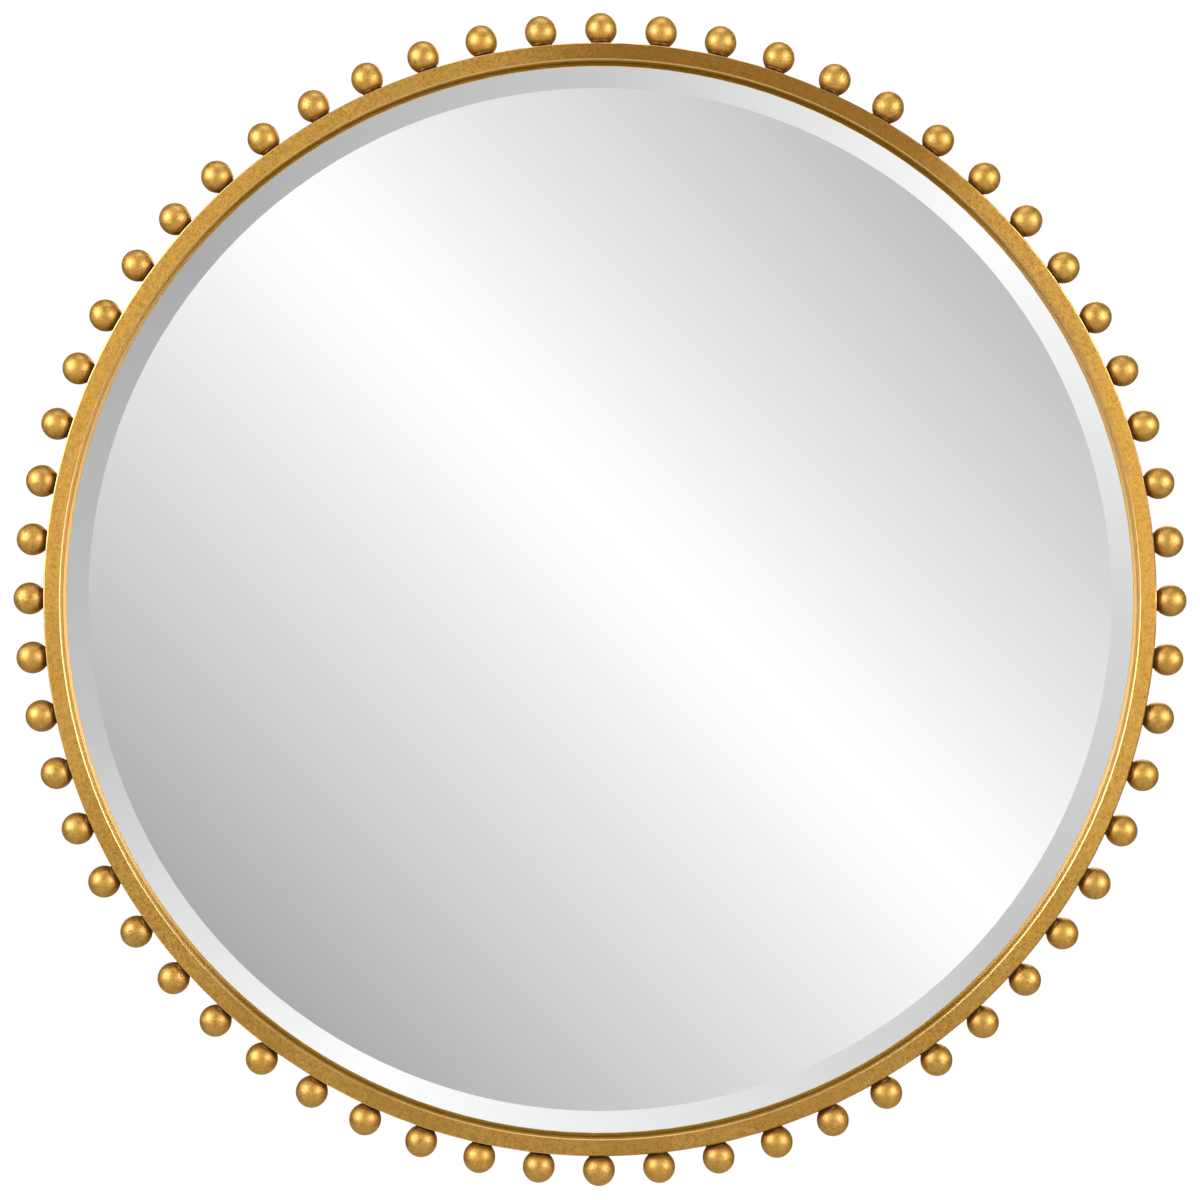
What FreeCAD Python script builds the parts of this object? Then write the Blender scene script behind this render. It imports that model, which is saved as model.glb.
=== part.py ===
import FreeCAD, Part
import Sketcher
import os

# A large round wall mirror: a bevelled glass plate held in a thin gilded steel ring, with a row of
# gilded balls set round the outside of the ring like beads.
#
# Millimetres. X is to the right as seen from the front, Z is up and Y runs back into the wall. The
# origin is on the mirror's axis, in the plane of the wall that the four bumpers touch, so the mirror
# lies at negative Y with its face towards -Y. Angles run clockwise from 12 o'clock, seen from the front.

HOURS = 12              # the balls are kept in one group for each hour of the clock
BEADS_PER_HOUR = 5
BUTTONS = 8             # turn-buttons that hold the backing board in
BUMPERS = 4
SIDES = {"left": -1, "right": 1}

V = FreeCAD.Vector
ALONG_Y = FreeCAD.Rotation(V(1, 0, 0), -90)      # turns a primitive's own Z axis to +Y

doc = FreeCAD.newDocument("BeadedMirror")

# ---------------------------------------------------------------- driving sizes

SIZES = (
    # ring: a flat bar rolled to a circle, with a second one welded behind it on edge
    ("rim_radius", "528.5"),
    ("bar_face", "16"),             # its wide side is to the front
    ("bar_depth", "12.7"),
    ("bar_arris", "1.2"),
    ("band_wall", "8"),
    # balls, each with a short round foot that is soldered to the ring
    ("bead_diameter", "30.5"),
    ("bead_foot", "19.5"),
    ("bead_lead", "0.11"),          # degrees: the whole row is set a little clockwise
    ("bead_drift", "0.28"),         # degrees: spacing by hand drifts twice round the ring
    # glass
    ("glass_thick", "5"),
    ("glass_gap", "1"),
    ("bevel_width", "31.75"),
    ("bevel_drop", "1.5"),
    # foam tape between the ring's lip and the glass
    ("tape_thick", "0.6"),
    ("tape_width", "5"),
    ("tape_setback", "1.5"),
    # foam sheet and backing board behind the glass
    ("liner_thick", "2.4"),
    ("liner_gap", "3"),
    ("board_thick", "6"),
    ("board_gap", "1.5"),
    # rubber bumpers on the board
    ("bumper_height", "10"),
    ("bumper_foot", "24"),
    ("bumper_face", "20"),
    ("bumper_inset", "14"),
    # turn-buttons and their screws
    ("button_length", "24"),
    ("button_width", "7.5"),
    ("button_thick", "1.2"),
    ("button_lift", "0.2"),
    ("pivot_diameter", "3"),
    ("pivot_head", "6.4"),
    ("pivot_head_height", "2"),
    ("pivot_depth", "8"),
    ("pivot_bore_gap", "0.05"),
    # hanger plates across the ring at half past one and half past ten, and their bolts
    ("hanger_inset", "13.2"),       # of a plate's middle, inwards and down from the band's middle
    ("plate_width", "64"),
    ("plate_height", "72"),
    ("plate_thick", "2.5"),
    ("plate_corner", "6"),
    ("plate_margin", "1"),
    ("bolt_diameter", "4"),
    ("bolt_head", "7"),
    ("bolt_head_height", "2.4"),
    ("bolt_depth", "8"),
    ("bolt_spacing", "40"),
    # straps that carry the D-rings, and their rivets
    ("strap_width", "14"),
    ("strap_thick", "1.2"),
    ("strap_length", "38"),
    ("eye_wall", "1.2"),
    ("eye_height", "4"),            # of the eye's axis over the plate's middle
    ("eye_weld", "0.4"),            # how deep the eye is let into the strap
    ("rivet_diameter", "4"),
    ("rivet_head", "7"),
    ("rivet_head_height", "1.4"),
    ("rivet_first", "24"),
    ("rivet_pitch", "9"),
    # D-rings, bent from round wire
    ("wire_diameter", "3"),
    ("wire_gap", "0.05"),
    ("ring_width", "22"),
    ("ring_reach", "16"),
    ("ring_corner", "3"),
    # shared by screws, bolts and rivets
    ("hole_gap", "0.05"),
    ("slot_width", "1"),
    ("slot_depth", "0.9"),
    ("head_edge", "0.6"),           # share of a head's height that stands straight
    ("head_crown", "0.7"),          # the crown's share of a head's width
)

sizes = doc.addObject("Spreadsheet::Sheet", "Sizes")
for row, (name, value) in enumerate(SIZES, start=1):
    sizes.set(f"A{row}", name)
    sizes.set(f"B{row}", value)
    sizes.setAlias(f"B{row}", name)
doc.recompute()

# places that follow from the sizes, as formulas on a second sheet
LEVELS = (
    ("band_inner", "Sizes.rim_radius - Sizes.band_wall"),
    ("bar_inner", "Sizes.rim_radius - Sizes.bar_face"),
    ("band_middle", "Sizes.rim_radius - Sizes.band_wall / 2"),
    ("glass_radius", "band_inner - Sizes.glass_gap"),
    ("bevel_inner", "glass_radius - Sizes.bevel_width"),
    ("bevel_slope", "Sizes.bevel_drop / Sizes.bevel_width"),
    ("lip_drop", "(bar_inner - bevel_inner) * bevel_slope"),
    # Y of each face, from the wall forwards
    ("back", "-Sizes.bumper_height"),
    ("board_front", "back - Sizes.board_thick"),
    ("glass_back", "board_front - Sizes.liner_thick"),
    ("glass_front", "glass_back - Sizes.glass_thick"),
    ("lip", "glass_front + lip_drop - Sizes.tape_thick"),
    ("front", "lip - Sizes.bar_depth"),
    ("bead", "(front + back) / 2"),
    ("button", "back + Sizes.button_lift"),
    ("button_top", "button + Sizes.button_thick + Sizes.button_lift"),
    ("plate_top", "back + Sizes.plate_thick"),
    ("strap_top", "plate_top + Sizes.strap_thick"),
    # the hanger plates' middles, sideways and up, and half the angle between a plate's bolts
    ("hanger", "band_middle * cos(45 deg) - Sizes.hanger_inset"),
    ("bolt_turn", "Sizes.bolt_spacing / 2 / band_middle * 180 / pi"),
    # the D-ring's pivot
    ("eye_bore", "Sizes.wire_diameter / 2 + Sizes.wire_gap"),
    ("eye_radius", "eye_bore + Sizes.eye_wall"),
    ("eye", "strap_top + eye_radius - Sizes.eye_weld"),
    ("eye_z", "hanger + Sizes.eye_height"),
)

levels = doc.addObject("Spreadsheet::Sheet", "Levels")
for row, (name, formula) in enumerate(LEVELS, start=1):
    levels.set(f"A{row}", name)
    levels.set(f"B{row}", "=" + formula)
    levels.setAlias(f"B{row}", name)
    doc.recompute()


def value(formula):
    """What a formula on the two sheets comes to, for the few steps that aren't bound to one."""
    return float(levels.evalExpression(formula))


# ---------------------------------------------------------------- small makers


def bind(thing, **formulas):
    """Bind properties to the sheets. A name such as Placement__Base__x stands for Placement.Base.x."""
    for name, formula in formulas.items():
        thing.setExpression(name.replace("__", "."), formula)
    return thing


def revolved(name, corners):
    """A solid of revolution about the Y axis. Corners are (radius, y) pairs of formulas, in order."""
    body = doc.addObject("PartDesign::Body", name)
    plane = next(f for f in body.Origin.OriginFeatures if f.Role == "XY_Plane")
    sketch = body.newObject("Sketcher::SketchObject", name + "_section")
    sketch.AttachmentSupport = (plane, [""])
    sketch.MapMode = "FlatFace"
    spots = [V(value(radius), value(level), 0) for radius, level in corners]
    count = len(spots)
    for i in range(count):
        sketch.addGeometry(Part.LineSegment(spots[i], spots[(i + 1) % count]))
    for i in range(count):
        sketch.addConstraint(Sketcher.Constraint("Coincident", i, 2, (i + 1) % count, 1))
    for i, (corner, spot) in enumerate(zip(corners, spots)):
        for axis, formula, along in zip(("DistanceX", "DistanceY"), corner, (spot.x, spot.y)):
            place = sketch.addConstraint(Sketcher.Constraint(axis, -1, 1, i, 1, along))
            sketch.setExpression(f"Constraints[{place}]", formula)
    turn = body.newObject("PartDesign::Revolution", name + "_turn")
    turn.Profile = sketch
    turn.ReferenceAxis = (sketch, ["V_Axis"])
    turn.Angle = 360
    doc.recompute()
    return body


def disc(name, radius, level, thick):
    """A round plate or a shaft about the Y axis, from a level backwards."""
    plate = doc.addObject("Part::Cylinder", name)
    plate.Placement = FreeCAD.Placement(V(0, 0, 0), ALONG_Y)
    return bind(plate, Radius=radius, Height=thick, Placement__Base__y=level)


def block(name, x, y, z, length, width, height):
    """A box from its lowest corner."""
    box = doc.addObject("Part::Box", name)
    return bind(box, Length=length, Width=width, Height=height,
                Placement__Base__x=x, Placement__Base__y=y, Placement__Base__z=z)


def joined(name, *pieces):
    fuse = doc.addObject("Part::MultiFuse", name)
    fuse.Shapes = list(pieces)
    fuse.Refine = True
    return fuse


def cut(name, base, tool):
    result = doc.addObject("Part::Cut", name)
    result.Base = base
    result.Tool = tool
    return result


def copy_of(master, name, turn="0", x="0", y="0", z="0"):
    """The same piece again, turned clockwise about the Y axis and set at a place."""
    link = doc.addObject("App::Link", name)
    link.LinkedObject = master
    link.LinkTransform = True
    return bind(link, Placement__Base__x=x, Placement__Base__y=y, Placement__Base__z=z,
                Placement__Rotation__Axis__x="0", Placement__Rotation__Axis__y="1",
                Placement__Rotation__Axis__z="0", Placement__Rotation__Angle=f"({turn}) * 1 deg")


def on_circle(master, name, turn, radius, level):
    """A copy on a circle about the mirror's axis, turned to face along the radius."""
    return copy_of(master, name, turn, x=f"{radius} * sin(({turn}) * 1 deg)", y=level,
                   z=f"{radius} * cos(({turn}) * 1 deg)")


def group(name, pieces):
    """One sub-part made of one or more placed pieces."""
    whole = doc.addObject("Part::Compound", name)
    whole.Links = list(pieces)
    return whole


sub_parts = {}


def keep(name, thing):
    """Name a finished sub-part."""
    thing.Label = name
    sub_parts[name] = thing
    return thing


# ---------------------------------------------------------------- ring


def make_front_ring():
    bar = revolved("FrontBar", (
        ("Levels.bar_inner", "Levels.front"),
        ("Sizes.rim_radius", "Levels.front"),
        ("Sizes.rim_radius", "Levels.lip"),
        ("Levels.bar_inner", "Levels.lip"),
    ))
    # the two arrises that show at the front are rounded
    turned = bar.Tip
    front = value("Levels.front")
    edges = [f"Edge{i}" for i, edge in enumerate(turned.Shape.Edges, start=1)
             if abs(edge.BoundBox.YMax - front) < 1e-3 and edge.BoundBox.YLength < 1e-3
             and edge.BoundBox.XLength > value("Levels.bar_inner")]
    round_over = bar.newObject("PartDesign::Fillet", "FrontArrises")
    round_over.Base = (turned, edges)
    bind(round_over, Radius="Sizes.bar_arris")
    return keep("front_ring", bar)


def screw_spots():
    """Angles of the two bolts of each hanger plate, by side."""
    return {side: [f"{sign} * (45 + {end} * Levels.bolt_turn)" for end in (-1, 1)]
            for side, sign in SIDES.items()}


def button_turn(i):
    """Turn-buttons stand evenly round the ring, half a step past 12 o'clock."""
    return f"{(i + 0.5) * 360 / BUTTONS}"


def make_rear_band():
    band = revolved("BandBar", (
        ("Levels.band_inner", "Levels.lip"),
        ("Sizes.rim_radius", "Levels.lip"),
        ("Sizes.rim_radius", "Levels.back"),
        ("Levels.band_inner", "Levels.back"),
    ))
    pivot_hole = disc("PivotHole", "Sizes.pivot_diameter / 2 + Sizes.hole_gap", "-Sizes.pivot_depth",
                      "Sizes.pivot_depth")
    bolt_hole = disc("BoltHole", "Sizes.bolt_diameter / 2 + Sizes.hole_gap", "-Sizes.bolt_depth",
                     "Sizes.bolt_depth")
    holes = [on_circle(pivot_hole, f"PivotHole{i}", button_turn(i), "Levels.band_middle", "Levels.back")
             for i in range(BUTTONS)]
    for side, turns in screw_spots().items():
        holes += [on_circle(bolt_hole, f"BoltHole_{side}{i}", turn, "Levels.band_middle", "Levels.back")
                  for i, turn in enumerate(turns)]
    return keep("rear_band", cut("DrilledBand", band, group("BandHoles", holes)))


# ---------------------------------------------------------------- balls


def make_beads():
    ball = bind(doc.addObject("Part::Sphere", "Ball"), Radius="Sizes.bead_diameter / 2",
                Placement__Base__y="Levels.bead",
                Placement__Base__z="Sizes.rim_radius + Sizes.bead_diameter / 2")
    foot = bind(doc.addObject("Part::Cylinder", "Foot"), Radius="Sizes.bead_foot / 2",
                Height="Sizes.bead_diameter / 2", Placement__Base__y="Levels.bead",
                Placement__Base__z="Sizes.rim_radius")
    bead = joined("Bead", ball, foot)
    step = 360 / (HOURS * BEADS_PER_HOUR)
    for hour in range(1, HOURS + 1):
        beads = []
        for i in range(BEADS_PER_HOUR):
            even = (hour * BEADS_PER_HOUR + i) * step
            turn = f"{even} + Sizes.bead_lead + Sizes.bead_drift * sin({2 * even} deg)"
            beads.append(copy_of(bead, f"Bead_{hour:02d}_{i}", turn))
        keep(f"beads_hour_{hour:02d}", group(f"BeadsHour{hour:02d}", beads))


# ---------------------------------------------------------------- glass and backing


def make_glass():
    return keep("mirror_glass", revolved("Glass", (
        ("0", "Levels.glass_front"),
        ("Levels.bevel_inner", "Levels.glass_front"),
        ("Levels.glass_radius", "Levels.glass_front + Sizes.bevel_drop"),
        ("Levels.glass_radius", "Levels.glass_back"),
        ("0", "Levels.glass_back"),
    )))


def make_tape():
    near = "Levels.bar_inner + Sizes.tape_setback"
    far = f"{near} + Sizes.tape_width"
    bevel = "Levels.glass_front + Levels.bevel_slope * ({} - Levels.bevel_inner)"
    return keep("setting_tape", revolved("Tape", (
        (near, "Levels.lip"),
        (far, "Levels.lip"),
        (far, bevel.format(f"({far})")),
        (near, bevel.format(f"({near})")),
    )))


def make_backing():
    keep("foam_liner", disc("Liner", "Levels.band_inner - Sizes.liner_gap", "Levels.glass_back",
                            "Sizes.liner_thick"))
    keep("backing_board", disc("Board", "Levels.band_inner - Sizes.board_gap", "Levels.board_front",
                               "Sizes.board_thick"))
    rubber = doc.addObject("Part::Cone", "Rubber")
    rubber.Placement = FreeCAD.Placement(V(0, 0, 0), ALONG_Y)
    bind(rubber, Radius1="Sizes.bumper_foot / 2", Radius2="Sizes.bumper_face / 2",
         Height="Sizes.bumper_height")
    reach = "(Levels.band_inner - Sizes.board_gap - Sizes.bumper_inset - Sizes.bumper_foot / 2)"
    for i in range(BUMPERS):
        spot = on_circle(rubber, f"Rubber{i}", f"{i * 360 / BUMPERS}", reach, "Levels.back")
        keep(f"bumper_{i + 1}", group(f"Bumper{i + 1}", [spot]))


# ---------------------------------------------------------------- fasteners


def headed(name, shaft, depth, head, height):
    """A screw or rivet about the Y axis: its head stands on y = 0 and its shaft points to -Y."""
    return revolved(name, (
        ("0", f"-({depth})"),
        (f"{shaft} / 2", f"-({depth})"),
        (f"{shaft} / 2", "0"),
        (f"{head} / 2", "0"),
        (f"{head} / 2", f"{height} * Sizes.head_edge"),
        (f"{head} / 2 * Sizes.head_crown", height),
        ("0", height),
    ))


def slotted(name, screw, head, height):
    slot = block(name + "Slot", f"-{head} / 2", f"{height} - Sizes.slot_depth", "-Sizes.slot_width / 2",
                 head, height, "Sizes.slot_width")
    return cut(name + "Cut", screw, slot)


def make_turn_buttons():
    """Each button turns on its screw: inwards it holds the board, along the ring it lets it go."""
    half = "Sizes.button_width / 2"
    run = "(Sizes.button_length - Sizes.button_width)"
    bar = block("ButtonBar", f"-{half}", "0", f"-{run}", "Sizes.button_width", "Sizes.button_thick", run)
    near = disc("ButtonNear", half, "0", "Sizes.button_thick")
    far = disc("ButtonFar", half, "0", "Sizes.button_thick")
    bind(far, Placement__Base__z=f"-{run}")
    hole = disc("ButtonHole", "Sizes.pivot_diameter / 2 + Sizes.pivot_bore_gap",
                "-Sizes.button_lift", "Sizes.button_thick + 2 * Sizes.button_lift")
    button = cut("Button", joined("ButtonBlank", bar, near, far), hole)
    screw = slotted("PivotScrew", headed(
        "Pivot", "Sizes.pivot_diameter",
        "Levels.button_top - Levels.back + Sizes.pivot_depth - Sizes.button_lift",
        "Sizes.pivot_head", "Sizes.pivot_head_height"), "Sizes.pivot_head", "Sizes.pivot_head_height")
    screws = []
    for i in range(BUTTONS):
        turn = button_turn(i)
        spot = on_circle(button, f"Button{i}", turn, "Levels.band_middle", "Levels.button")
        keep(f"turn_button_{i + 1}", group(f"TurnButton{i + 1}", [spot]))
        screws.append(on_circle(screw, f"PivotScrew{i}", turn, "Levels.band_middle", "Levels.button_top"))
    keep("button_screws", group("ButtonScrews", screws))


# ---------------------------------------------------------------- hangers


def make_hanger_plates():
    """A plate bridges the ring and the board at each upper corner, trimmed to the ring's curve."""
    sheet = block("PlateSheet", "Levels.hanger - Sizes.plate_width / 2", "Levels.back",
                  "Levels.hanger - Sizes.plate_height / 2", "Sizes.plate_width", "Sizes.plate_thick",
                  "Sizes.plate_height")
    rim = disc("PlateRim", "Sizes.rim_radius - Sizes.plate_margin", "Levels.back", "Sizes.plate_thick")
    trimmed = doc.addObject("Part::Common", "PlateTrimmed")
    trimmed.Base = sheet
    trimmed.Tool = rim
    doc.recompute()
    inner = value("Levels.hanger - Sizes.plate_width / 2")
    lower = value("Levels.hanger - Sizes.plate_height / 2")
    thick, corner = value("Sizes.plate_thick"), value("Sizes.plate_corner")
    corners = [i for i, edge in enumerate(trimmed.Shape.Edges, start=1)
               if edge.BoundBox.YLength > thick / 2
               and (abs(edge.BoundBox.XMin - inner) < 1e-3 or abs(edge.BoundBox.ZMin - lower) < 1e-3)]
    rounded = doc.addObject("Part::Fillet", "PlateRounded")
    rounded.Base = trimmed
    rounded.Edges = [(i, corner, corner) for i in corners]
    bolt_hole = disc("PlateBoltHole", "Sizes.bolt_diameter / 2 + Sizes.hole_gap", "0",
                     "Sizes.plate_thick")
    holes = [on_circle(bolt_hole, f"PlateBoltHole{i}", turn, "Levels.band_middle", "Levels.back")
             for i, turn in enumerate(screw_spots()["right"])]
    rivet_hole = disc("PlateRivetHole", "Sizes.rivet_diameter / 2 + Sizes.hole_gap", "0",
                      "Sizes.plate_thick")
    holes += [copy_of(rivet_hole, f"PlateRivetHole{i}", x="Levels.hanger", y="Levels.back", z=z)
              for i, z in enumerate(rivet_heights())]
    plate = cut("PlateRight", rounded, group("PlateHoles", holes))
    mirrored = doc.addObject("Part::Mirroring", "PlateLeft")
    mirrored.Source = plate
    mirrored.Normal = V(1, 0, 0)
    keep("hanger_plate_right", plate)
    keep("hanger_plate_left", mirrored)


def rivet_heights():
    first = "Levels.eye_z - Sizes.rivet_first"
    return [first, f"{first} - Sizes.rivet_pitch"]


def make_straps():
    """A strap with a tubular eye along its top edge, in which the D-ring's straight side turns."""
    half = "Sizes.strap_width / 2"
    strip = block("StrapStrip", f"-{half}", "Levels.plate_top", "Levels.eye_z - Sizes.strap_length",
                  "Sizes.strap_width", "Sizes.strap_thick", "Sizes.strap_length")
    tubes = []
    for name, radius in (("EyeTube", "Levels.eye_radius"), ("EyeBore", "Levels.eye_bore")):
        tube = doc.addObject("Part::Cylinder", name)
        tube.Placement = FreeCAD.Placement(V(0, 0, 0), FreeCAD.Rotation(V(0, 1, 0), 90))
        tubes.append(bind(tube, Radius=radius, Height="Sizes.strap_width", Placement__Base__x=f"-{half}",
                          Placement__Base__y="Levels.eye", Placement__Base__z="Levels.eye_z"))
    rivet_hole = disc("StrapRivetHole", "Sizes.rivet_diameter / 2 + Sizes.hole_gap", "0",
                      "Sizes.strap_thick")
    holes = [copy_of(rivet_hole, f"StrapRivetHole{i}", y="Levels.plate_top", z=z)
             for i, z in enumerate(rivet_heights())]
    strap = cut("Strap", joined("StrapBlank", strip, tubes[0]), group("StrapHoles", [tubes[1]] + holes))
    for side, sign in SIDES.items():
        spot = copy_of(strap, f"Strap_{side}", x=f"{sign} * Levels.hanger")
        keep(f"hanger_strap_{side}", group(f"HangerStrap_{side}", [spot]))


def make_d_rings():
    """Round wire bent to a D: a straight side in the eye, two tight corners and a half-round bow."""
    half = value("Sizes.ring_width / 2")
    corner = value("Sizes.ring_corner")
    bow = value("Sizes.ring_reach") - half
    bend = corner * (1 - 0.5 ** 0.5)

    def at(x, z):
        return V(x, 0, z)

    path = Part.Wire([
        Part.makeLine(at(0, 0), at(half - corner, 0)),
        Part.Arc(at(half - corner, 0), at(half - bend, -bend), at(half, -corner)).toShape(),
        Part.makeLine(at(half, -corner), at(half, -bow)),
        Part.Arc(at(half, -bow), at(0, -bow - half), at(-half, -bow)).toShape(),
        Part.makeLine(at(-half, -bow), at(-half, -corner)),
        Part.Arc(at(-half, -corner), at(bend - half, -bend), at(corner - half, 0)).toShape(),
        Part.makeLine(at(corner - half, 0), at(0, 0)),
    ])
    section = Part.Wire([Part.makeCircle(value("Sizes.wire_diameter / 2"), at(0, 0), V(1, 0, 0))])
    ring = doc.addObject("Part::Feature", "Ring")
    ring.Shape = path.makePipeShell([section], True, False)
    for side, sign in SIDES.items():
        spot = copy_of(ring, f"Ring_{side}", x=f"{sign} * Levels.hanger", y="Levels.eye",
                       z="Levels.eye_z")
        keep(f"d_ring_{side}", group(f"DRing_{side}", [spot]))


def make_hanger_fasteners():
    bolt = slotted("PlateBolt", headed(
        "Bolt", "Sizes.bolt_diameter", "Sizes.plate_thick + Sizes.bolt_depth", "Sizes.bolt_head",
        "Sizes.bolt_head_height"), "Sizes.bolt_head", "Sizes.bolt_head_height")
    rivet = headed("Rivet", "Sizes.rivet_diameter", "Sizes.plate_thick + Sizes.strap_thick",
                   "Sizes.rivet_head", "Sizes.rivet_head_height")
    bolts, rivets = [], []
    for side, turns in screw_spots().items():
        bolts += [on_circle(bolt, f"PlateBolt_{side}{i}", turn, "Levels.band_middle", "Levels.plate_top")
                  for i, turn in enumerate(turns)]
        rivets += [copy_of(rivet, f"Rivet_{side}{i}", x=f"{SIDES[side]} * Levels.hanger",
                           y="Levels.strap_top", z=z) for i, z in enumerate(rivet_heights())]
    keep("plate_bolts", group("PlateBolts", bolts))
    keep("strap_rivets", group("StrapRivets", rivets))


# ---------------------------------------------------------------- build, check and write

make_front_ring()
make_rear_band()
make_beads()
make_glass()
make_tape()
make_backing()
make_turn_buttons()
make_hanger_plates()
make_straps()
make_d_rings()
make_hanger_fasteners()
doc.recompute()

for thing in doc.Objects:
    bad = [state for state in thing.State if state in ("Invalid", "Error")]
    if bad:
        raise RuntimeError(f"{thing.Name} is {bad[0]}: {thing.getStatusString()}")

os.makedirs("parts", exist_ok=True)
for name, thing in sub_parts.items():
    shape = thing.Shape
    if shape.isNull() or not shape.isValid() or not shape.Solids:
        raise RuntimeError(f"{name} has no valid solid")
    shape.exportStep(f"parts/{name}.step")
    box = shape.BoundBox
    print(f"{name:20s} {len(shape.Solids):2d} solids {shape.Volume / 1000:9.2f} cm3"
          f"  x {box.XMin:8.2f} {box.XMax:8.2f}  y {box.YMin:7.2f} {box.YMax:7.2f}"
          f"  z {box.ZMin:8.2f} {box.ZMax:8.2f}")
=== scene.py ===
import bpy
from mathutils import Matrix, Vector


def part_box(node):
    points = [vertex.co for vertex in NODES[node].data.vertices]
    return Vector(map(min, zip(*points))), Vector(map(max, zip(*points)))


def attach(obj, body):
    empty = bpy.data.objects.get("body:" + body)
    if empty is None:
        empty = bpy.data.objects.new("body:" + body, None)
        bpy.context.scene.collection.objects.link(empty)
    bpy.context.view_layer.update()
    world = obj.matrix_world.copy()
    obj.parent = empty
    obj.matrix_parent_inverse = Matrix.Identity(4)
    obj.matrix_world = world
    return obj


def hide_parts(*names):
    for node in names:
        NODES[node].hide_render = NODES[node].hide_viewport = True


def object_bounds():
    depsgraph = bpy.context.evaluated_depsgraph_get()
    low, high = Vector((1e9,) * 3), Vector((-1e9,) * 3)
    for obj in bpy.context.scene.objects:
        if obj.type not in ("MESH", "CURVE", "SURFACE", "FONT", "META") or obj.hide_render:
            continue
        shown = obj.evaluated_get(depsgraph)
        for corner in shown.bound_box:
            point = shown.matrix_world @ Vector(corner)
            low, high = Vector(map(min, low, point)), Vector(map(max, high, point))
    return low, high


bl_info = {
    "name": "Beaded round mirror",
    "version": (1, 0, 0),
    "blender": (4, 5, 0),
    "location": "3D View > Sidebar > Beaded Mirror",
    "description": "Gilds and dresses a round bevelled wall mirror with balls round its rim",
    "category": "Object",
}

import math

import bmesh
import bpy
from mathutils import Matrix, Vector

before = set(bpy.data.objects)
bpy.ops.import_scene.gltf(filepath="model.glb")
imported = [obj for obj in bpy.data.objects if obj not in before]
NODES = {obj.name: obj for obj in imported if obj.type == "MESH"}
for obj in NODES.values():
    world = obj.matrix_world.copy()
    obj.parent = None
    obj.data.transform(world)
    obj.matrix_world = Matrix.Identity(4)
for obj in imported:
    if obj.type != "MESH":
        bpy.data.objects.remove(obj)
CAD_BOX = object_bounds()

MM = 0.001
HOURS = 12
BEADS_PER_HOUR = 5
BUMPERS = 4


# ---------------------------------------------------------------- sizes read from the frame


def box_of(name):
    """A node's lowest and highest corners, in metres."""
    low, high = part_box(name)
    return Vector(low), Vector(high)


RIM = box_of("rear_band")[1].x                     # outer radius of the ring
BAR_FRONT = box_of("front_ring")[0].y
LIP = box_of("front_ring")[1].y
BEAD = (CAD_BOX[1][0] - RIM) / 2                   # a ball's radius: the balls reach furthest out
BEAD_LEVEL = box_of("beads_hour_03")[0].y + BEAD   # how far forward the balls' middles stand
BEAD_FOOT = 9.75 * MM                              # radius of the foot that a ball stands on
BEADS = HOURS * BEADS_PER_HOUR
SIGHT = RIM - 16 * MM                              # radius of the ring's opening, as seen


# ---------------------------------------------------------------- colour and nodes


def srgb(code):
    """An sRGB hex colour as the linear values that Blender's shaders work in."""
    parts = [int(code[i:i + 2], 16) / 255 for i in (1, 3, 5)]
    return tuple(c / 12.92 if c <= 0.04045 else ((c + 0.055) / 1.055) ** 2.4 for c in parts)


def add(tree, kind, inputs=None, **settings):
    """Add a node with its settings. Inputs are values, or other nodes' outputs to link."""
    made = tree.nodes.new(kind)
    for name, setting in settings.items():
        setattr(made, name, setting)
    for socket, source in (inputs or {}).items():
        if isinstance(source, bpy.types.NodeSocket):
            tree.links.new(source, made.inputs[socket])
        else:
            made.inputs[socket].default_value = source
    return made


def new_material(name, base, metallic, roughness, **sockets):
    """A material whose plain values sit on the shader's own sockets. Returns it, its tree and shader."""
    made = bpy.data.materials.new(name)
    made.use_nodes = True
    tree = made.node_tree
    shader = tree.nodes["Principled BSDF"]
    shader.inputs["Base Color"].default_value = (*base, 1)
    shader.inputs["Metallic"].default_value = metallic
    shader.inputs["Roughness"].default_value = roughness
    for socket, value in sockets.items():
        shader.inputs[socket.replace("_", " ")].default_value = value
    return made, tree, shader


def dress(name, finish):
    """Give a node of the frame its finish."""
    slots = NODES[name].data.materials
    if not slots:
        slots.append(finish)
    for i in range(len(slots)):
        slots[i] = finish


# ---------------------------------------------------------------- sizes and colours to change


def length(name, description, default):
    return bpy.props.FloatProperty(name=name, description=description, default=default, min=0,
                                   subtype="DISTANCE", unit="LENGTH", precision=5)


def colour(name, description, code):
    return bpy.props.FloatVectorProperty(name=name, description=description, default=srgb(code),
                                         size=3, min=0, max=1, subtype="COLOR")


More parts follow.
